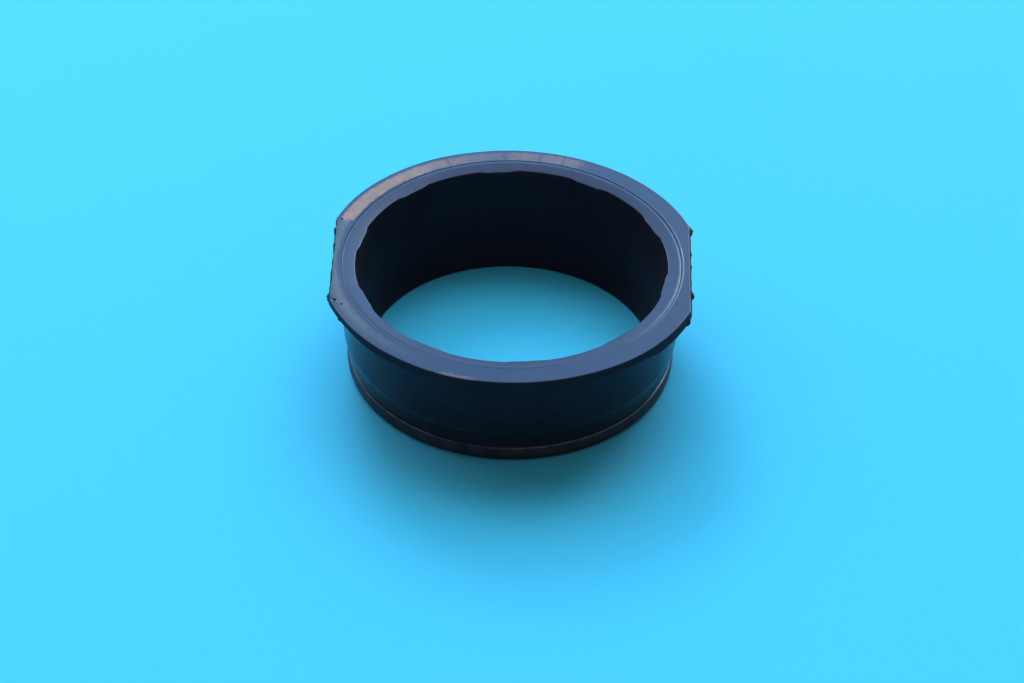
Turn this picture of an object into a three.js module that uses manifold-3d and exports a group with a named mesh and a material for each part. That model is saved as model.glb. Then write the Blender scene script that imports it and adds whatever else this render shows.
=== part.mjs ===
// Short rubber pipe sleeve with a flange collar round its mouth.
// Millimetres, +Z up along the pipe axis, origin at the centre of the foot's resting plane.

import * as THREE from 'three';
import { mergeVertices } from 'three/addons/utils/BufferGeometryUtils.js';
import Module from 'manifold-3d';

const wasm = await Module();
wasm.setup();

// ---- driving dimensions ----

const height = 16;
const segments = 96;

// sleeve, outside
const wallRadius = 22.3;
const stepTop = 5.4;
const stepFoot = 4.3;
const lowerWallRadius = 21.8;
const grooveRadius = 21.55;
const grooveWidth = 0.3;
const beadTop = 2.3;
const beadEdgeRadius = 21.8;
const beadRadius = 21.95;
const beadMiddle = 1.1;
const footRadius = 21.3;

// sleeve, inside
const boreRadius = 20.5;
const boreEdgeHeight = 15.6;
const sealTop = 3.4;
const sealTopRadius = 20.2;
const sealRadius = 19.1;
const edgeBreak = 0.25;

// nibs in the mouth
const nibCount = 10;
const firstNibAngle = 25;
const nibTipRadius = 20.1;
const nibTipWidth = 9.5;
const nibRootWidth = 13.5;
const nibDepth = 1.6;
const nibRootRadius = 21.2;

// collar
const collarRadius = 25;
const collarThickness = 1.2;
const seatClearance = 0.05;
const seamDepth = 0.25;
const seamInnerRadius = 22.1;
const seamOuterRadius = 22.55;
const flatTopDistance = 23.35;
const flatFootDistance = 23.65;

// ---- materials ----

const sleeveRubber = new THREE.MeshStandardMaterial({ color: 0x15171b, roughness: 0.5, metalness: 0 });
const collarRubber = new THREE.MeshStandardMaterial({ color: 0x191b1f, roughness: 0.55, metalness: 0 });

// ---- helpers ----

// A ring turned round Z from a closed outline of [radius, height] points.
function turnedRing(outline) {
  const points = [...outline, outline[0]].map(([radius, z]) => new THREE.Vector2(radius, z));
  const ring = new THREE.LatheGeometry(points, segments);
  ring.rotateX(Math.PI / 2);
  return ring;
}

function toSolid(geometry) {
  const plain = geometry.clone();
  plain.deleteAttribute('normal');
  plain.deleteAttribute('uv');
  const merged = mergeVertices(plain, 1e-4);
  return new wasm.Manifold(new wasm.Mesh({
    numProp: 3,
    vertProperties: new Float32Array(merged.attributes.position.array),
    triVerts: new Uint32Array(merged.index.array),
  }));
}

function toGeometry(solid) {
  const mesh = solid.getMesh();
  const geometry = new THREE.BufferGeometry();
  geometry.setAttribute('position', new THREE.BufferAttribute(mesh.vertProperties, 3));
  geometry.setIndex(new THREE.BufferAttribute(mesh.triVerts, 1));
  geometry.computeVertexNormals();
  return geometry;
}

function onCircle(radius, degrees) {
  const angle = THREE.MathUtils.degToRad(degrees);
  return new THREE.Vector2(radius * Math.cos(angle), radius * Math.sin(angle));
}

// ---- sleeve ----

function sleeveTube() {
  const collarFoot = height - collarThickness;
  return turnedRing([
    [sealRadius + edgeBreak, 0],
    [footRadius, 0],
    [beadEdgeRadius, edgeBreak],
    [beadRadius, beadMiddle - edgeBreak],
    [beadRadius, beadMiddle + edgeBreak],
    [beadEdgeRadius, beadTop],
    [grooveRadius, beadTop + edgeBreak / 2],
    [grooveRadius, beadTop + edgeBreak / 2 + grooveWidth],
    [lowerWallRadius, beadTop + edgeBreak + grooveWidth],
    [lowerWallRadius, stepFoot],
    [wallRadius, stepTop],
    [wallRadius, collarFoot],
    [wallRadius, height - seamDepth],
    [seamInnerRadius, height],
    [boreRadius + edgeBreak, boreEdgeHeight + edgeBreak / 4],
    [boreRadius, boreEdgeHeight - edgeBreak],
    [sealTopRadius, sealTop],
    [sealRadius, edgeBreak],
  ]);
}

// One nib: a flat tab just under the mouth's edge, its tip curved like the bore, its root in the wall.
function nib(angle) {
  const steps = 4;
  const outline = [];
  for (let i = 0; i <= steps; i += 1) {
    outline.push(onCircle(nibTipRadius, angle + nibTipWidth * (i / steps - 0.5)));
  }
  for (let i = steps; i >= 0; i -= 1) {
    outline.push(onCircle(nibRootRadius, angle + nibRootWidth * (i / steps - 0.5)));
  }
  const tab = new THREE.ExtrudeGeometry(new THREE.Shape(outline), { depth: nibDepth, bevelEnabled: false });
  tab.translate(0, 0, boreEdgeHeight - nibDepth);
  return tab;
}

function sleeve() {
  let solid = toSolid(sleeveTube());
  for (let i = 0; i < nibCount; i += 1) {
    solid = solid.add(toSolid(nib(firstNibAngle + i * 360 / nibCount)));
  }
  return new THREE.Mesh(toGeometry(solid), sleeveRubber);
}

// ---- flange collar ----

function collarRing() {
  const foot = height - collarThickness;
  const bore = wallRadius + seatClearance;
  return turnedRing([
    [bore, foot],
    [collarRadius, foot],
    [collarRadius, height - edgeBreak / 2],
    [collarRadius - edgeBreak / 2, height],
    [seamOuterRadius + edgeBreak / 2, height],
    [seamOuterRadius, height - edgeBreak / 2],
    [bore, height - seamDepth],
  ]);
}

// The wedge-faced block that trims one side of the collar; its face leans out towards the foot.
function flatCutter(side) {
  const foot = height - collarThickness;
  const lean = (flatFootDistance - flatTopDistance) / collarThickness;
  const margin = 1;
  const far = collarRadius + margin;
  const face = new THREE.Shape([
    new THREE.Vector2(flatFootDistance + lean * margin, foot - margin),
    new THREE.Vector2(far, foot - margin),
    new THREE.Vector2(far, height + margin),
    new THREE.Vector2(flatTopDistance - lean * margin, height + margin),
  ]);
  const block = new THREE.ExtrudeGeometry(face, { depth: 2 * collarRadius, bevelEnabled: false });
  block.translate(0, 0, -collarRadius);
  block.rotateX(Math.PI / 2);
  if (side < 0) {
    block.rotateZ(Math.PI);
  }
  return block;
}

function flangeCollar() {
  let solid = toSolid(collarRing());
  for (const side of [1, -1]) {
    solid = solid.subtract(toSolid(flatCutter(side)));
  }
  return new THREE.Mesh(toGeometry(solid), collarRubber);
}

// ---- assembly ----

const coupling = new THREE.Group();

const sleeveMesh = sleeve();
sleeveMesh.name = 'sleeve';
coupling.add(sleeveMesh);

const collarMesh = flangeCollar();
collarMesh.name = 'flange_collar';
coupling.add(collarMesh);

export default coupling;
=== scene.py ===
"""Looks of a short flanged rubber pipe sleeve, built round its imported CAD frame.

Two turned pieces stand for the CAD solids: the sleeve with the nibs in its mouth, and the flange
collar with its two roughly cut flats. The frame is in metres with +Z up along the pipe axis and the
foot resting on z = 0. Outlines are written in millimetres.
"""

import math

import bpy
import numpy as np
from mathutils import Matrix, Vector, noise


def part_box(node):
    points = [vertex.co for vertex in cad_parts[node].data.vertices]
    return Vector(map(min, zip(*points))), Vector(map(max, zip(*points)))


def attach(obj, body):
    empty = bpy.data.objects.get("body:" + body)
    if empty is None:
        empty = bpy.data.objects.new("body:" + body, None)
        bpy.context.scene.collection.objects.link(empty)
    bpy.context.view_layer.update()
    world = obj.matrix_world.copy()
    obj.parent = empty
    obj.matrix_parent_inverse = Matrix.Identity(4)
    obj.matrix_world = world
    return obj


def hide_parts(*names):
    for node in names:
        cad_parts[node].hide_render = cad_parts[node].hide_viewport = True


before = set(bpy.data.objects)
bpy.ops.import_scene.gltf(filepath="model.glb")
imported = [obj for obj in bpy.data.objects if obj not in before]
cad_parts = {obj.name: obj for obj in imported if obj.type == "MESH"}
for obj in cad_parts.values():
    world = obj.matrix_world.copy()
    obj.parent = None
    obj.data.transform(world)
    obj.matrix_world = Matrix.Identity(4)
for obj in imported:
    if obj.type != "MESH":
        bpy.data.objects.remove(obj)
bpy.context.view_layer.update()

MM = 0.001

# ---- driving dimensions, in mm, the first five from the frame ----

sleeve_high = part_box("sleeve")[1] / MM
collar_low, collar_high = (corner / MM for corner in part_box("flange_collar"))

HEIGHT = sleeve_high.z
WALL_RADIUS = sleeve_high.x
COLLAR_RADIUS = collar_high.y
COLLAR_FOOT = collar_low.z
FLAT_FOOT_DISTANCE = collar_high.x
FLAT_LEAN = 0.3

STEP_TOP = 5.4
STEP_FOOT = 4.3
LOWER_WALL_RADIUS = WALL_RADIUS - 0.5
GROOVE_RADIUS = LOWER_WALL_RADIUS - 0.25
GROOVE_TOP = 2.75
BEAD_TOP = 2.3
BEAD_RADIUS = LOWER_WALL_RADIUS + 0.15
FOOT_RADIUS = BEAD_RADIUS - 0.65

BORE_RADIUS = 20.5
BORE_EDGE = HEIGHT - 0.35
MOUTH_SLOPE = 0.24
SEAL_TOP = 3.4
SEAL_RADIUS = 19.1

NIB_COUNT = 10
FIRST_NIB = 24.8
NIB_REACH = 0.34
NIB_TIP_WIDTH = 7.0
NIB_ROOT_WIDTH = 16.5
NIB_DEPTH = 2.6
NIB_BACK_SHARE = 0.80
NIB_FRONT_LOSS = 0.22

SEAM_GAP = 0.004
SEAM_DEPTH = 0.12
SEAM_SHOULDER = 0.36
LIP_HEIGHT = 0.055
LIP_MIDDLE = 0.19
LIP_REACH = 0.31

# ---- mesh density: the sleeve's columns, the collar's steps in degrees, and the flats' half width ----

SLEEVE_COLUMNS = 720
FLAT_STEP = 0.2
RIM_STEP = 0.75
FLAT_REACH = 27.0

# ---- marks of moulding and wear, some with painted highlights, angles in degrees from +X and lengths in mm ----

# Each flat: the angle it faces, how far it lies inside the frame's flat, and how ragged it is.
FLATS = (
    (-0.9, 0.0, 0.04),
    (181.6, 0.03, 0.11),
)

# Where the rim stands out a little: the middle angle, how far to each side of it the swell fades out
# and how far it is still full, and by how much the rim stands out.
RIM_SWELLS = (
    (131.0, 32.0, 12.0, 0.14),
    (325.0, 38.0, 12.0, 0.18),
    (255.0, 20.0, 5.0, 0.07),
)

# Where the collar's lower edge hangs down, or is drawn up, in the same order.
RIM_HANGS = (
    (328.0, 16.0, 7.0, 0.55),
    (212.0, 14.0, 5.0, -0.25),
)

# Where the bead's top line, browned rubber under a painted highlight, is fainter or stronger, in the same
# order.
BEAD_LINE_SWELLS = (
    (257.0, 20.0, 8.0, -0.6),
    (322.0, 30.0, 12.0, 0.5),
)
# How much of that colour the bead's face takes: browned rubber and painted reflection.
BEAD_FACE_SHARE = 0.17

# Small pits in the collar's top face: angle, distance from the axis and radius.
PITS = (
    (203.2, 24.45, 0.32),
    (205.9, 23.9, 0.20),
    (202.0, 24.75, 0.15),
    (161.2, 24.25, 0.25),
)
PIT_DEPTH = 0.2

# Torn nubs along the flats and the rim beside them: angle, width and reach, and where on the edge
# they sit, from 0 at the collar's foot to 1 at its top.
NUBS = (
    (19.4, 1.30, 0.42, 0.35),
    (8.1, 0.40, 0.14, 0.4),
    (1.6, 0.35, 0.12, 0.5),
    (347.0, 1.00, 0.32, 0.25),
    (335.8, 0.80, 0.22, 0.0),
    (161.6, 0.80, 0.16, 0.8),
    (165.6, 0.60, 0.22, 0.6),
    (172.5, 0.40, 0.10, 0.4),
    (187.5, 0.60, 0.12, 0.5),
    (197.8, 0.50, 0.30, 0.05),
    (199.3, 0.70, 0.16, 0.05),
    (210.0, 0.40, 0.14, 0.05),
)

# The dried film on the collar: where its cover changes, from one angle to the next, and by how much.
FILM_STEPS = (
    (64.0, 72.0, 0.44),
    (86.0, 94.0, -0.12),
    (102.0, 130.0, 0.62),
    (143.0, 152.0, 0.14),
)
FILM_STOP = 160.0
FILM_STOP_END = 161.5
FILM_FADE = (205.0, 228.0)

# Thin breaks across the film: angle and half width.
FILM_BREAKS = ((113.6, 1.0), (94.0, 1.6), (81.8, 0.9), (73.9, 0.9))

# ---- colours ----

SLEEVE_DARK = (0.0095, 0.0055, 0.009, 1.0)
SLEEVE_BLOOM = (0.012, 0.0075, 0.012, 1.0)
COLLAR_DARK = (0.008, 0.006, 0.010, 1.0)
COLLAR_BLOOM = (0.011, 0.008, 0.013, 1.0)
EDGE_COLOUR = (0.030, 0.028, 0.030, 1.0)
SPECK_COLOUR = (0.07, 0.06, 0.05, 1.0)
SMEAR_COLOUR = (0.016, 0.014, 0.017, 1.0)
# The bead's top line and face: browned rubber with a painted highlight.
BEAD_BROWN_AND_HIGHLIGHT_COLOUR = (0.105, 0.085, 0.070, 1.0)
TORN_COLOUR = (0.015, 0.014, 0.018, 1.0)
# A painted highlight along the torn flats' top edges.
FLAT_EDGE_HIGHLIGHT = (0.13, 0.12, 0.11, 1.0)
# Painted shade inside the pits.
PIT_SHADE_COLOUR = (0.004, 0.004, 0.006, 1.0)
SCUFF_COLOUR = (0.080, 0.070, 0.048, 1.0)
FILM_PALE = (0.285, 0.143, 0.078, 1.0)
FILM_DARK = (0.210, 0.116, 0.069, 1.0)
RUBBER_TINT = (0.90, 0.80, 1.0, 1.0)
PAPER_COLOUR = (0.054, 0.365, 0.42, 1.0)
ROOM_COLOUR = (0.30, 0.38, 0.48, 1.0)
SKY_COLOUR = (1.75, 4.3, 8.0, 1.0)
HIGH_COLOUR = (3.6, 6.1, 9.0, 1.0)
BACKDROP_COLOUR = (0.13, 0.60, 0.95, 1.0)
WINDOW_COLOUR = (0.66, 0.58, 0.90)
SIDE_COLOUR = (0.60, 0.60, 1.0)
LAMP_COLOUR = (0.81, 1.0, 0.98)
PANEL_COLOUR = (0.05, 0.37, 1.0)

# The sky's glow: its middle as a direction from the ring, the cosines of the angles from there at which
# it starts and is full, and the heights between which it turns from the sky's colour to the high one.
GLOW_WAY = (0.02, 0.68, 0.733)
GLOW_EDGE = 0.70
GLOW_CORE = 0.95
HIGH_FROM = 0.65
HIGH_FULL = 0.95


# ---- outlines and ring meshes ----

def rounded(corners, gap):
    """A closed outline from (radius, height, fillet) corners, points at most gap apart along it.

    Returns the points and, for each, how far it sits on a rounded outer edge, from 0 to 1.
    """
    steps = 5
    points = []
    edges = []
    for i, (radius, height, fillet) in enumerate(corners):
        here = np.array((radius, height))
        before = np.array(corners[i - 1][:2]) - here
        after = np.array(corners[(i + 1) % len(corners)][:2]) - here
        before_length = np.linalg.norm(before)
        after_length = np.linalg.norm(after)
        run = min(fillet, 0.48 * before_length, 0.48 * after_length)
        start = here + before / before_length * run
        end = here + after / after_length * run
        turn = (after[0] * before[1] - after[1] * before[0]) / (before_length * after_length)
        for t in np.linspace(0.0, 1.0, steps):
            point = (1 - t) ** 2 * start + 2 * t * (1 - t) * here + t ** 2 * end
            if points:
                fill(points, edges, point, gap)
            points.append(point)
            edges.append(max(turn, 0.0) * 4 * t * (1 - t))
    fill(points, edges, points[0], gap)
    return np.array(points), np.array(edges)


def fill(points, edges, point, gap):
    """Adds plain points between the outline's last point and the next one."""
    last = points[-1]
    count = int(np.linalg.norm(point - last) / gap)
    for k in range(count):
        points.append(last + (point - last) * (k + 1) / (count + 1))
        edges.append(0.0)


def smooth(value, low, high):
    """0 below low, 1 above high, and a smooth ramp between them. Works downhill too."""
    t = np.clip((value - low) / (high - low), 0.0, 1.0)
    return t * t * (3 - 2 * t)


def swell(angles, middle, reach, flat):
    """1 within flat degrees of the middle angle, fading to 0 at reach degrees; one value for each column."""
    off = np.abs((np.degrees(angles) - middle + 180.0) % 360.0 - 180.0)
    return smooth(off, reach, flat)[:, None]


def swells(angles, table):
    """The sum of a table's swells: middle, reach and flat in degrees, and the amount of each."""
    total = 0.0
    for middle, reach, flat, amount in table:
        total = total + amount * swell(angles, middle, reach, flat)
    return total


def turned(outline, angles):
    """The outline's radius and height as two grids, with one row for each angle."""
    radius = np.tile(outline[:, 0], (len(angles), 1))
    height = np.tile(outline[:, 1], (len(angles), 1))
    return radius, height


def plan(radius, angles):
    """X and Y of each point of a grid with one row for each angle."""
    return radius * np.cos(angles)[:, None], radius * np.sin(angles)[:, None]


def ripple(x, y, z, size, seed):
    """Smooth noise from -1 to 1 at each point, with lumps of about the given size."""
    shift = Vector((seed * 7.3, seed * 3.1, seed * 5.7))
    flat = zip(np.ravel(x), np.ravel(y), np.ravel(z))
    values = [noise.noise(Vector(point) / size + shift) for point in flat]
    return np.array(values).reshape(np.shape(x))


def ring(name, angles, radius, height, marks, material):
    """A closed ring from grids of radius and height, one row for each angle; marks are point attributes."""
    columns, points = radius.shape
    x, y = plan(radius, angles)
    corners = np.stack([x, y, height], axis=2).reshape(-1, 3) * MM
    index = np.arange(columns * points).reshape(columns, points)
    across = np.roll(index, -1, axis=0)
    quads = np.stack([index, across, np.roll(across, -1, axis=1), np.roll(index, -1, axis=1)], axis=2)
    mesh = bpy.data.meshes.new(name)
    mesh.from_pydata(corners.tolist(), [], quads.reshape(-1, 4).tolist())
    mesh.polygons.foreach_set("use_smooth", [True] * len(mesh.polygons))
    for label, values in marks.items():
        attribute = mesh.attributes.new(label, "FLOAT", "POINT")
        spread = np.broadcast_to(values, radius.shape).astype(np.float32)
        attribute.data.foreach_set("value", spread.ravel())
    mesh.materials.append(material)
    mesh.update()
    piece = bpy.data.objects.new(name, mesh)
    bpy.context.scene.collection.objects.link(piece)
    return piece


# ---- sleeve ----

def sleeve_outline():
    """The tube's wall, from the foot up the outside, over the mouth and down the bore."""
    return rounded([
        (SEAL_RADIUS + 0.25, 0.0, 0.1),
        (FOOT_RADIUS, 0.0, 0.15),
        (BEAD_RADIUS - 0.1, 0.4, 0.3),
        (BEAD_RADIUS, 1.2, 0.4),
        (BEAD_RADIUS - 0.10, BEAD_TOP, 0.22),
        (GROOVE_RADIUS, BEAD_TOP + 0.1, 0.08),
        (GROOVE_RADIUS, GROOVE_TOP - 0.05, 0.08),
        (LOWER_WALL_RADIUS, GROOVE_TOP + 0.05, 0.1),
        (LOWER_WALL_RADIUS, STEP_FOOT, 0.3),
        (WALL_RADIUS, STEP_TOP, 0.9),
        (WALL_RADIUS, HEIGHT - SEAM_DEPTH, 0.006),
        (WALL_RADIUS - SEAM_SHOULDER, HEIGHT, 0.16),
        (BORE_RADIUS + 0.09, BORE_EDGE - 0.01, 0.06),
        (BORE_RADIUS, BORE_EDGE - 0.12, 0.06),
        (BORE_RADIUS - 0.3, SEAL_TOP, 0.25),
        (SEAL_RADIUS, 0.25, 0.15),
    ], gap=0.7)


def nib_share(angles):
    """How far into a nib each angle is, from 0 between nibs to 1 on a nib's tip."""
    pitch = 360.0 / NIB_COUNT
    off = np.abs((np.degrees(angles) - FIRST_NIB + pitch / 2) % pitch - pitch / 2)
    return smooth(off, NIB_ROOT_WIDTH / 2, NIB_TIP_WIDTH / 2)


def nib_push(angles, radius, height):
    """How far the nibs push each point in towards the axis. They are shorter in front."""
    lug = smooth(height, BORE_EDGE - NIB_DEPTH, BORE_EDGE - 0.2)
    lug = lug * smooth(radius, BORE_RADIUS + 0.9, BORE_RADIUS + 0.15)
    length = NIB_BACK_SHARE - NIB_FRONT_LOSS * swell(angles, 272.0, 75.0, 35.0)
    return NIB_REACH * nib_share(angles)[:, None] * lug * length


def wall_sag(angles, radius, height):
    """A slight unevenness of the soft wall, with none at the foot and under the collar."""
    x, y = plan(radius, angles)
    sag = 0.02 * ripple(x, y, height, 12.0, 1) * smooth(height, 0.0, 1.5)
    return np.abs(sag * smooth(height, COLLAR_FOOT, COLLAR_FOOT - 2.0))


def sleeve_relief(angles):
    """How much of the seam's depth the sleeve's edge shows: most beside the flats, least in front."""
    along = np.cos(angles)[:, None]
    most = np.where(along > 0, 0.85, 0.80)
    return 0.10 + 0.05 * np.sin(angles)[:, None] + most * along ** 2


def sleeve_marks(angles, radius, height, edges):
    """The sleeve's point attributes: polished edges, the bead's line of browned rubber and painted
    highlight, and the smooth wall.
    """
    worn = edges[None, :] * smooth(radius, BORE_RADIUS + 0.3, BORE_RADIUS + 0.6)
    bead = worn * smooth(np.abs(height - BEAD_TOP), 0.3, 0.12)
    bead = bead * smooth(radius, GROOVE_RADIUS, GROOVE_RADIUS + 0.15)
    bead = bead * (1.0 + swells(angles, BEAD_LINE_SWELLS))
    face = smooth(height, 0.5, 1.3) * smooth(height, BEAD_TOP + 0.05, BEAD_TOP - 0.1)
    face = face * smooth(radius, FOOT_RADIUS - 0.4, FOOT_RADIUS)
    wall = smooth(radius, FOOT_RADIUS - 0.3, FOOT_RADIUS) * smooth(height, GROOVE_TOP, GROOVE_TOP + 0.3)
    wall = wall * smooth(height, COLLAR_FOOT + 0.2, COLLAR_FOOT - 0.1)
    return {"edge": worn, "bead": np.maximum(bead, BEAD_FACE_SHARE * face), "wall": wall}


def make_sleeve(material):
    """The sleeve, with its nibs, its slightly uneven wall and its side of the seam."""
    outline, edges = sleeve_outline()
    angles = np.radians(np.arange(SLEEVE_COLUMNS) * 360.0 / SLEEVE_COLUMNS)
    radius, height = turned(outline, angles)
    push = nib_push(angles, radius, height)
    sag = wall_sag(angles, radius, height)
    height = eased(height - push * MOUTH_SLOPE, radius, sleeve_relief(angles))
    radius = radius - push - sag
    marks = sleeve_marks(angles, radius, height, edges)
    return ring("sleeve_moulding", angles, radius, height, marks, material)


def eased(height, radius, share):
    """Height near the seam, with the seam's relief above or below the top face scaled by share."""
    near = smooth(np.abs(radius - WALL_RADIUS), SEAM_SHOULDER + 0.15, SEAM_SHOULDER)
    near = near * (height > HEIGHT - 0.5)
    level = HEIGHT - MOUTH_SLOPE * np.maximum(WALL_RADIUS - SEAM_SHOULDER - radius, 0.0)
    return np.where(near > 0, level - (level - height) * (1 - near * (1 - share)), height)


# ---- flange collar ----

def collar_outline():
    """The collar's section before its flats are cut, from the seam's foot round the rim to the top."""
    inner = WALL_RADIUS + SEAM_GAP
    return rounded([
        (inner, COLLAR_FOOT, 0.05),
        (COLLAR_RADIUS, COLLAR_FOOT, 0.06),
        (COLLAR_RADIUS, HEIGHT, 0.13),
        (inner + LIP_REACH, HEIGHT, 0.04),
        (inner + LIP_MIDDLE, HEIGHT + LIP_HEIGHT, 0.05),
        (inner, HEIGHT - SEAM_DEPTH, 0.006),
    ], gap=0.14)


def lip_relief(angles):
    """How much of its full height the lip beside the seam has: most at +X and at the back."""
    along = np.cos(angles)[:, None]
    raised = 0.10 + along ** 2 * np.where(along > 0, 0.85, 0.15)
    return np.maximum(raised, 0.9 * swell(angles, 97.0, 70.0, 35.0))


def edge_hang(angles, radius, height):
    """How far the collar's lower edge hangs down beside the flats, a little raggedly."""
    hang = swells(angles, RIM_HANGS)
    hang = hang * smooth(radius, WALL_RADIUS + 0.6, COLLAR_RADIUS - 0.4)
    hang = hang * smooth(height, COLLAR_FOOT + 0.6, COLLAR_FOOT)
    around = np.broadcast_to(COLLAR_RADIUS * angles[:, None], radius.shape)
    return hang * (1 + 0.2 * ripple(np.zeros(radius.shape), around, height, 0.7, 8))


def fitted(radius, reach):
    """The collar's radii scaled so that its outside lies at reach, with the rim's section kept whole."""
    kept = 0.35
    shoulder = COLLAR_RADIUS - kept
    start = WALL_RADIUS + 0.3
    scaled = start + (radius - start) * (reach - kept - start) / (shoulder - start)
    moved = np.where(radius > shoulder, reach - (COLLAR_RADIUS - radius), scaled)
    return np.where(radius > start, moved, radius)


def pit_share(angles, radius, height):
    """0 on the collar's plain surface, and up to 1 in the middle of a pit in its top face."""
    x, y = plan(radius, angles)
    on_top = height > HEIGHT - 0.3
    pits = np.zeros(height.shape)
    for angle, distance, size in PITS:
        from_x = x - distance * math.cos(math.radians(angle))
        from_y = y - distance * math.sin(math.radians(angle))
        pits = np.maximum(pits, smooth(np.hypot(from_x, from_y), size, size * 0.4) * on_top)
    return pits


def make_collar(material):
    """The collar, with its two torn flats, its hanging edge, its pits and its side of the seam."""
    outline, edges = collar_outline()
    angles = np.radians(collar_angles())
    radius, height = turned(outline, angles)
    reach, cut = outer_reach(angles, height)
    hang = edge_hang(angles, radius, height)
    radius = fitted(radius, reach)
    on_face = smooth(radius, reach - 0.3, reach - 0.1)
    rim = smooth(radius, reach - 0.08, reach - 0.02) * smooth(height, HEIGHT - 0.1, HEIGHT - 0.25)
    pits = pit_share(angles, radius, height)
    relief = np.where(height > HEIGHT, lip_relief(angles), 0.2)
    height = eased(height, radius, relief) - hang - PIT_DEPTH * pits
    # The flats' top edges carry a painted highlight.
    lip = edges[None, :] * smooth(height, HEIGHT - 0.4, HEIGHT - 0.1) * cut * on_face
    marks = {"edge": edges[None, :], "cut": cut * on_face, "rim": rim, "lip": lip, "pit": pits}
    return ring("collar_moulding", angles, radius, height, marks, material)


def collar_angles():
    """Column angles in degrees, close together along the two flats."""
    found = []
    angle = -FLAT_REACH
    while angle < 360.0 - FLAT_REACH - 1e-6:
        found.append(angle)
        near = (angle + FLAT_REACH) % 180.0 < 2 * FLAT_REACH - 1e-6
        angle += FLAT_STEP if near else RIM_STEP
    return np.array(found)


def rise(height):
    """0 at the collar's foot and 1 at its top."""
    return (height - COLLAR_FOOT) / (HEIGHT - COLLAR_FOOT)


def trimmed(reach, across, height, flat):
    """The reach cut back to one flat, with its corners slightly rounded, and where the flat cut it."""
    normal, inset, rough = flat
    off = np.radians((across - normal + 180.0) % 360.0 - 180.0)
    facing = np.abs(off) < math.radians(60.0)
    distance = FLAT_FOOT_DISTANCE - inset - FLAT_LEAN * rise(height)
    line = distance / np.where(facing, np.cos(off), 1.0)
    along = distance * np.tan(np.where(facing, off, 0.0))
    side = math.cos(math.radians(normal))
    coarse = ripple(line * side, along, height * 0.6, 0.9, 3)
    fine = ripple(line * side, along, height, 0.35, 4)
    out_of_reach = 99.0
    line = np.where(facing, line + rough * (coarse + 0.7 * fine), out_of_reach)
    softness = 0.04
    depth = np.clip(reach - line, -3.0, 3.0) / softness
    both = reach - softness * np.log(np.exp(depth) + 1.0)
    share = np.where(facing, smooth(COLLAR_RADIUS - line, 0.0, 0.15), 0.0)
    return np.where(facing, np.minimum(reach, both), reach), share


def nub(reach, across, height, angle, width, out, place):
    """How far one torn nub stands out at each point."""
    off = np.radians((across - angle + 180.0) % 360.0 - 180.0) * reach
    body = smooth(np.abs(off), 0.62 * width + 0.08, 0.15 * width)
    level = smooth(np.abs(rise(height) - place), 0.65, 0.15)
    return out * body * level * (1 + 0.4 * ripple(off, np.zeros(off.shape), height, 0.3, 6))


def outer_reach(angles, height):
    """Distance from the axis to the collar's outside at each angle and height, and where it was cut."""
    across = np.degrees(angles)[:, None]
    reach = COLLAR_RADIUS + swells(angles, RIM_SWELLS) + np.zeros(height.shape)
    cut = np.zeros(height.shape)
    for flat in FLATS:
        reach, share = trimmed(reach, across, height, flat)
        cut = np.maximum(cut, share)
    for row in NUBS:
        reach = reach + nub(reach, across, height, *row)
    return reach, cut


# ---- materials ----

class Nodes:
    """A small helper that adds shader nodes and wires them."""

    def __init__(self, name=None, tree=None):
        if tree is None:
            self.material = bpy.data.materials.new(name)
            self.material.use_nodes = True
            tree = self.material.node_tree
        self.tree = tree
        tree.nodes.clear()

    def add(self, kind, settings=None, **inputs):
        node = self.tree.nodes.new(kind)
        for key, value in (settings or {}).items():
            setattr(node, key, value)
        for key, value in inputs.items():
            self.feed(node, key.replace("_", " "), value)
        return node

    def feed(self, node, socket, value):
        target = node.inputs[int(socket)] if socket.isdigit() else node.inputs[socket]
        if isinstance(value, bpy.types.NodeSocket):
            self.tree.links.new(value, target)
        else:
            target.default_value = value


def noise_at(n, place, size, detail=3.0, roughness=0.55):
    """Noise with lumps of the given size, in mm; its factor output."""
    scale = 1.0 / (size * MM)
    texture = n.add("ShaderNodeTexNoise", Vector=place, Scale=scale, Detail=detail, Roughness=roughness)
    return texture.outputs["Fac"]


def ramp(n, value, low, high, to_low=0.0, to_high=1.0):
    """The value mapped smoothly from low..high to to_low..to_high."""
    node = n.add("ShaderNodeMapRange", {"interpolation_type": "SMOOTHSTEP"}, Value=value)
    node.inputs["From Min"].default_value = low
    node.inputs["From Max"].default_value = high
    node.inputs["To Min"].default_value = to_low
    node.inputs["To Max"].default_value = to_high
    return node.outputs["Result"]


def maths(n, operation, a, b=0.0):
    """The result of one sum on values or sockets."""
    node = n.add("ShaderNodeMath", {"operation": operation})
    n.feed(node, "0", a)
    n.feed(node, "1", b)
    return node.outputs["Value"]


def blend(n, share, first, second):
    """First colour where share is 0, second where it is 1."""
    node = n.add("ShaderNodeMix", {"data_type": "RGBA"})
    n.feed(node, "0", share)
    n.feed(node, "6", first)
    n.feed(node, "7", second)
    return node.outputs[2]


def mark(n, name):
    """One of the point attributes that the ring meshes carry."""
    return n.add("ShaderNodeAttribute", {"attribute_name": name}).outputs["Fac"]


def from_axis(n, place):
    """X, Y and Z of the place, and its distance from the pipe axis."""
    axes = n.add("ShaderNodeSeparateXYZ", Vector=place)
    x, y, z = (axes.outputs[axis] for axis in "XYZ")
    squares = maths(n, "ADD", maths(n, "MULTIPLY", x, x), maths(n, "MULTIPLY", y, y))
    return x, y, z, maths(n, "SQRT", squares)


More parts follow.
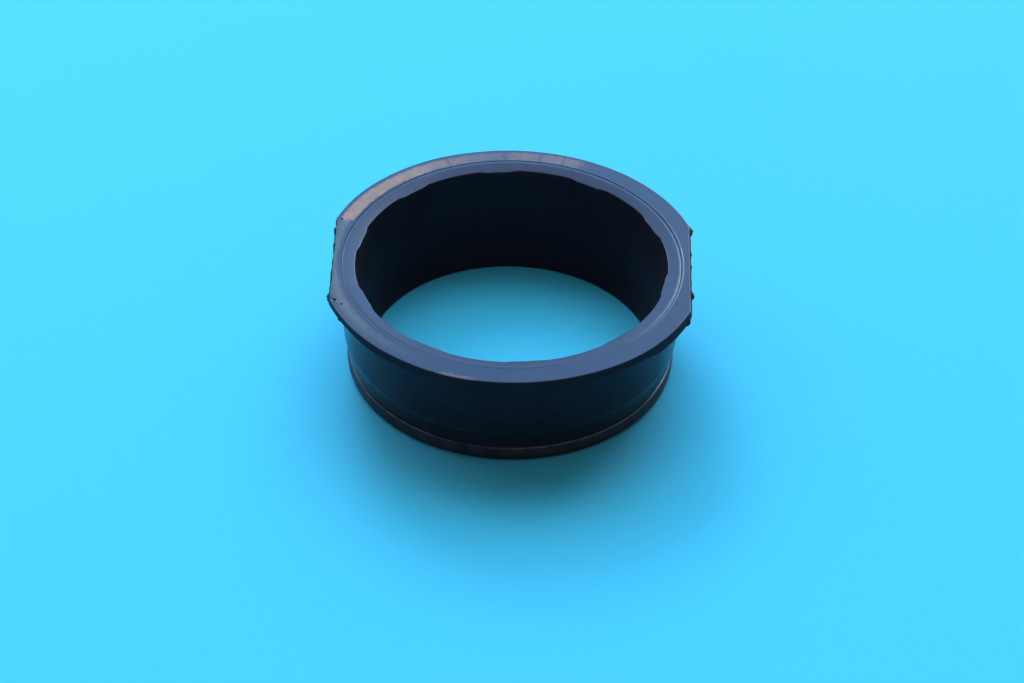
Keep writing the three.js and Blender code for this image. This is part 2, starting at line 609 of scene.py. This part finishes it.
def rubber(name, dark, bloom):
    """Moulded black rubber: faint bloom, polished edges, pale specks and smears left by rubbing."""
    n = Nodes(name)
    place = n.add("ShaderNodeTexCoord").outputs["Object"]
    mottled = noise_at(n, place, 5.0, detail=4.0)
    colour = blend(n, ramp(n, mottled, 0.35, 0.7), dark, bloom)
    colour = blend(n, maths(n, "MULTIPLY", mark(n, "edge"), 0.2), colour, EDGE_COLOUR)
    specks = ramp(n, noise_at(n, place, 0.45, detail=3.0, roughness=0.7), 0.66, 0.74, 0.0, 0.18)
    specks = maths(n, "MULTIPLY", specks, ramp(n, mark(n, "wall"), 0.0, 1.0, 1.0, 0.3))
    colour = blend(n, specks, colour, SPECK_COLOUR)
    satin = ramp(n, noise_at(n, place, 4.0, detail=6.0), 0.3, 0.75, 0.34, 0.42)
    smear = ramp(n, streaks(n, place), 0.35, 0.7)
    colour = blend(n, maths(n, "MULTIPLY", smear, 0.5), colour, SMEAR_COLOUR)
    satin = maths(n, "ADD", satin, maths(n, "MULTIPLY", smear, 0.06))
    return n, place, colour, satin


def streaks(n, place):
    """Noise drawn out round the pipe axis, as rubbing leaves it; about 4 mm long and 0.3 mm across."""
    per_radian = 6.0
    x, y, z, radius = from_axis(n, place)
    drawn = n.add("ShaderNodeCombineXYZ")
    n.feed(drawn, "X", maths(n, "MULTIPLY", maths(n, "DIVIDE", x, radius), per_radian))
    n.feed(drawn, "Y", maths(n, "MULTIPLY", maths(n, "DIVIDE", y, radius), per_radian))
    n.feed(drawn, "Z", maths(n, "DIVIDE", maths(n, "SUBTRACT", radius, z), 0.3 * MM))
    way = drawn.outputs["Vector"]
    texture = n.add("ShaderNodeTexNoise", Vector=way, Scale=1.0, Detail=4.0, Roughness=0.6)
    return texture.outputs["Fac"]


def finish_rubber(n, place, colour, satin):
    """The shader itself, with a fine grain and shallow waves in its surface."""
    grain = noise_at(n, place, 0.12, detail=2.0)
    waves = noise_at(n, place, 2.5, detail=3.0)
    relief = maths(n, "ADD", grain, maths(n, "MULTIPLY", waves, 5.0))
    bump = n.add("ShaderNodeBump", Height=relief, Strength=0.25, Distance=0.02 * MM)
    shader = n.add("ShaderNodeBsdfPrincipled", Roughness=satin, Normal=bump.outputs["Normal"])
    n.feed(shader, "Base Color", colour)
    shader.inputs["Specular IOR Level"].default_value = 0.16
    shader.inputs["Specular Tint"].default_value = RUBBER_TINT
    output = n.add("ShaderNodeOutputMaterial")
    n.feed(output, "Surface", shader.outputs["BSDF"])
    return n.material


def sleeve_rubber():
    """The sleeve's rubber, smoother on its wall, and paler and browner along the bead's top edge, where
    browned rubber carries a painted highlight.
    """
    n, place, colour, satin = rubber("black_rubber_sleeve", SLEEVE_DARK, SLEEVE_BLOOM)
    patchy = ramp(n, noise_at(n, place, 1.3, detail=4.0), 0.3, 0.7, 0.35, 1.25)
    # Browned rubber with a painted highlight along the bead's top edge, and fainter on its face.
    bead_brown_and_highlight = maths(n, "MULTIPLY", mark(n, "bead"), patchy)
    colour = blend(n, bead_brown_and_highlight, colour, BEAD_BROWN_AND_HIGHLIGHT_COLOUR)
    satin = maths(n, "SUBTRACT", satin, maths(n, "MULTIPLY", mark(n, "wall"), 0.18))
    return finish_rubber(n, place, colour, satin)


def along_collar(n, place):
    """Ragged and wavy angles round the collar in degrees, an uneven radius, and the height."""
    x, y, z, radius = from_axis(n, place)
    turn = maths(n, "MULTIPLY", maths(n, "ARCTAN2", y, x), 180 / math.pi)
    back = maths(n, "MODULO", maths(n, "ADD", turn, 360.0), 360.0)
    wander = maths(n, "SUBTRACT", noise_at(n, place, 0.9, detail=5.0), 0.5)
    ragged = maths(n, "ADD", back, maths(n, "MULTIPLY", wander, 5.0))
    wavy = maths(n, "ADD", back, maths(n, "MULTIPLY", wander, 2.5))
    uneven = maths(n, "ADD", radius, maths(n, "MULTIPLY", wander, 0.7 * MM))
    return ragged, wavy, uneven, z


def film_cover(n, ragged, wavy, uneven, on_top):
    """Where the dried film lies: a band round the back and left of the top face, with thin breaks."""
    thick = 0.0
    for start, end, change in FILM_STEPS:
        thick = maths(n, "ADD", ramp(n, ragged, start, end, 0.0, change), thick)
    thick = maths(n, "MULTIPLY", thick, ramp(n, ragged, FILM_STOP_END, FILM_STOP, 0.06, 1.0))
    thick = maths(n, "MULTIPLY", thick, ramp(n, ragged, FILM_FADE[1], FILM_FADE[0]))
    for angle, width in FILM_BREAKS:
        off = maths(n, "ABSOLUTE", maths(n, "SUBTRACT", wavy, angle))
        thick = maths(n, "MULTIPLY", thick, ramp(n, off, 0.3 * width, width, 0.5, 1.0))
    inside = ramp(n, uneven, (WALL_RADIUS + 0.25) * MM, (WALL_RADIUS + 0.45) * MM)
    outside = ramp(n, uneven, (COLLAR_RADIUS - 0.25) * MM, (COLLAR_RADIUS - 0.85) * MM)
    return maths(n, "MULTIPLY", maths(n, "MULTIPLY", inside, outside), maths(n, "MULTIPLY", thick, on_top))


def front_edge_highlight(n, ragged, uneven, z):
    """A painted highlight on the rim's top edge in front, in the film's tan colours."""
    middle = 255.5
    off = maths(n, "ABSOLUTE", maths(n, "SUBTRACT", ragged, middle))
    painted_glint = ramp(n, off, 7.0, 3.0, 0.0, 0.3)
    outside = ramp(n, uneven, (COLLAR_RADIUS - 0.65) * MM, (COLLAR_RADIUS - 0.25) * MM)
    above = ramp(n, z, (HEIGHT - 0.14) * MM, (HEIGHT - 0.07) * MM)
    return maths(n, "MULTIPLY", maths(n, "MULTIPLY", painted_glint, outside), above)


def scuff_cover(n, ragged, uneven, on_top, blotchy):
    """A greyer, scuffed stretch of the top face, from where the film stops round to the left front."""
    middle = 190.0
    off = maths(n, "ABSOLUTE", maths(n, "SUBTRACT", ragged, middle))
    scuffed = ramp(n, off, 64.0, 12.0, 0.0, 0.7)
    scuffed = maths(n, "MULTIPLY", scuffed, ramp(n, ragged, FILM_STOP, FILM_STOP_END))
    inside = ramp(n, uneven, (WALL_RADIUS + 0.45) * MM, (WALL_RADIUS + 0.85) * MM)
    outside = ramp(n, uneven, (COLLAR_RADIUS - 0.6) * MM, (COLLAR_RADIUS - 1.4) * MM, 0.25, 1.0)
    scuffed = maths(n, "MULTIPLY", maths(n, "MULTIPLY", scuffed, inside), outside)
    patchy = ramp(n, blotchy, 0.3, 0.6, 0.5, 1.0)
    return maths(n, "MULTIPLY", maths(n, "MULTIPLY", scuffed, on_top), patchy)


def collar_rubber():
    """The collar's rubber: torn flats, a scuffed stretch, a dried tan film, painted shade in the pits and
    painted highlights on edges.
    """
    n, place, colour, satin = rubber("black_rubber_collar", COLLAR_DARK, COLLAR_BLOOM)
    torn = ramp(n, noise_at(n, place, 0.35, detail=5.0), 0.45, 0.65)
    cut = mark(n, "cut")
    colour = blend(n, maths(n, "MULTIPLY", cut, torn), colour, TORN_COLOUR)
    # Painted highlight along the flats' top edges.
    colour = blend(n, maths(n, "MULTIPLY", mark(n, "lip"), 0.9), colour, FLAT_EDGE_HIGHLIGHT)
    # Painted shade darkens the pits.
    colour = blend(n, maths(n, "MULTIPLY", mark(n, "pit"), 0.9), colour, PIT_SHADE_COLOUR)
    coarse = maths(n, "MAXIMUM", cut, mark(n, "rim"))
    satin = maths(n, "ADD", satin, maths(n, "MULTIPLY", coarse, 0.3))

    ragged, wavy, uneven, z = along_collar(n, place)
    on_top = ramp(n, z, (HEIGHT - 0.08) * MM, (HEIGHT - 0.02) * MM)
    blotchy = noise_at(n, place, 1.6, detail=5.0, roughness=0.65)
    film = film_cover(n, ragged, wavy, uneven, on_top)
    film = maths(n, "MULTIPLY", film, ramp(n, blotchy, 0.3, 0.6, 0.72, 1.0))
    # Add the painted highlight on the front rim's top edge.
    film = maths(n, "MAXIMUM", film, front_edge_highlight(n, ragged, uneven, z))
    tan = blend(n, ramp(n, noise_at(n, place, 3.0, detail=4.0), 0.35, 0.65), FILM_PALE, FILM_DARK)
    colour = blend(n, scuff_cover(n, ragged, uneven, on_top, blotchy), colour, SCUFF_COLOUR)
    colour = blend(n, film, colour, tan)
    satin = maths(n, "ADD", satin, maths(n, "MULTIPLY", film, 0.25))
    return finish_rubber(n, place, colour, satin)


# ---- stage ----

def make_floor():
    """Plain pale blue paper."""
    half = 1.5
    corners = [(-half, -half, 0), (half, -half, 0), (half, half, 0), (-half, half, 0)]
    mesh = bpy.data.meshes.new("floor")
    mesh.from_pydata(corners, [], [(0, 1, 2, 3)])
    n = Nodes("pale_paper")
    shader = n.add("ShaderNodeBsdfPrincipled", Roughness=0.9)
    n.feed(shader, "Base Color", PAPER_COLOUR)
    shader.inputs["Specular IOR Level"].default_value = 0.1
    output = n.add("ShaderNodeOutputMaterial")
    n.feed(output, "Surface", shader.outputs["BSDF"])
    mesh.materials.append(n.material)
    floor = bpy.data.objects.new("floor", mesh)
    bpy.context.scene.collection.objects.link(floor)


def make_camera():
    """A long lens that looks down on the ring from in front, aimed just before its axis."""
    pitch = math.radians(39.37)
    yaw = math.radians(1.0)
    roll = math.radians(1.07)
    distance = 12.553 * COLLAR_RADIUS * MM
    aim = Matrix.Rotation(yaw, 3, "Z") @ Vector((0.25, -5.1, 6.25)) * MM
    tilt = Matrix.Rotation(math.pi / 2 - pitch, 4, "X")
    turn = Matrix.Rotation(yaw, 4, "Z") @ tilt @ Matrix.Rotation(roll, 4, "Z")
    data = bpy.data.cameras.new("camera")
    data.lens = 83.53
    data.sensor_width = 36.0
    data.clip_start = 0.01
    data.clip_end = 10.0
    camera = bpy.data.objects.new("camera", data)
    away = turn.to_3x3() @ Vector((0, 0, distance))
    camera.matrix_world = Matrix.Translation(aim + away) @ turn
    bpy.context.scene.collection.objects.link(camera)
    bpy.context.scene.camera = camera


def area_light(name, azimuth, elevation, distance, size, power, colour):
    """A soft rectangular light that faces the ring from that direction. Azimuth 0 is +X, 90 is +Y."""
    a = math.radians(azimuth)
    e = math.radians(elevation)
    away = Vector((math.cos(a) * math.cos(e), math.sin(a) * math.cos(e), math.sin(e)))
    data = bpy.data.lights.new(name, "AREA")
    data.shape = "RECTANGLE"
    data.size, data.size_y = size
    data.energy = power
    data.color = colour
    light = bpy.data.objects.new(name, data)
    light.location = away * distance
    light.rotation_mode = "QUATERNION"
    light.rotation_quaternion = away.to_track_quat("Z", "Y")
    light.visible_camera = False
    bpy.context.scene.collection.objects.link(light)
    return light


def make_world():
    """A dim room with a broad soft glow high behind the ring. The camera itself sees plain pale blue."""
    world = bpy.data.worlds.new("studio")
    world.use_nodes = True
    n = Nodes(tree=world.node_tree)
    way = n.add("ShaderNodeTexCoord").outputs["Generated"]
    axes = n.add("ShaderNodeSeparateXYZ", Vector=way)
    towards = n.add("ShaderNodeVectorMath", {"operation": "DOT_PRODUCT"})
    n.feed(towards, "0", way)
    n.feed(towards, "1", GLOW_WAY)
    glow = ramp(n, towards.outputs["Value"], GLOW_EDGE, GLOW_CORE)
    high = ramp(n, axes.outputs["Z"], HIGH_FROM, HIGH_FULL)
    sky = blend(n, high, SKY_COLOUR, HIGH_COLOUR)
    sky = blend(n, glow, ROOM_COLOUR, sky)
    seen = n.add("ShaderNodeLightPath").outputs["Is Camera Ray"]
    sky = blend(n, seen, sky, BACKDROP_COLOUR)
    background = n.add("ShaderNodeBackground", Color=sky)
    output = n.add("ShaderNodeOutputWorld")
    n.feed(output, "Surface", background.outputs["Background"])
    bpy.context.scene.world = world


def make_lights():
    """Windows that light the scene but show in no gloss, and lamps that show only as gloss on the rubber."""
    make_world()
    for window in (
        area_light("window", 107.0, 38.0, 0.9, (0.28, 0.28), 6.1, WINDOW_COLOUR),
        area_light("side_window", 152.0, 36.0, 0.6, (0.25, 0.25), 1.3, SIDE_COLOUR),
    ):
        window.visible_glossy = False
    for lamp in (
        area_light("back_lamp", 126.0, 21.0, 0.7, (0.16, 0.16), 2.9, LAMP_COLOUR),
        area_light("far_lamp", 57.0, 20.0, 0.7, (0.14, 0.28), 4.6, LAMP_COLOUR),
        area_light("right_lamp", 48.0, 44.0, 0.7, (0.16, 0.16), 4.0, LAMP_COLOUR),
        area_light("sky_panel", 90.0, 42.0, 1.0, (1.4, 1.15), 9.6, PANEL_COLOUR),
    ):
        lamp.visible_diffuse = False
    bpy.context.scene.view_settings.view_transform = "Standard"


# ---- assembly ----

def add_piece(piece, node):
    """Ties a piece to the frame's one body and hides the CAD node that it stands for."""
    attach(piece, "root")
    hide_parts(node)


add_piece(make_sleeve(sleeve_rubber()), "sleeve")
add_piece(make_collar(collar_rubber()), "flange_collar")
make_floor()
make_camera()
make_lights()
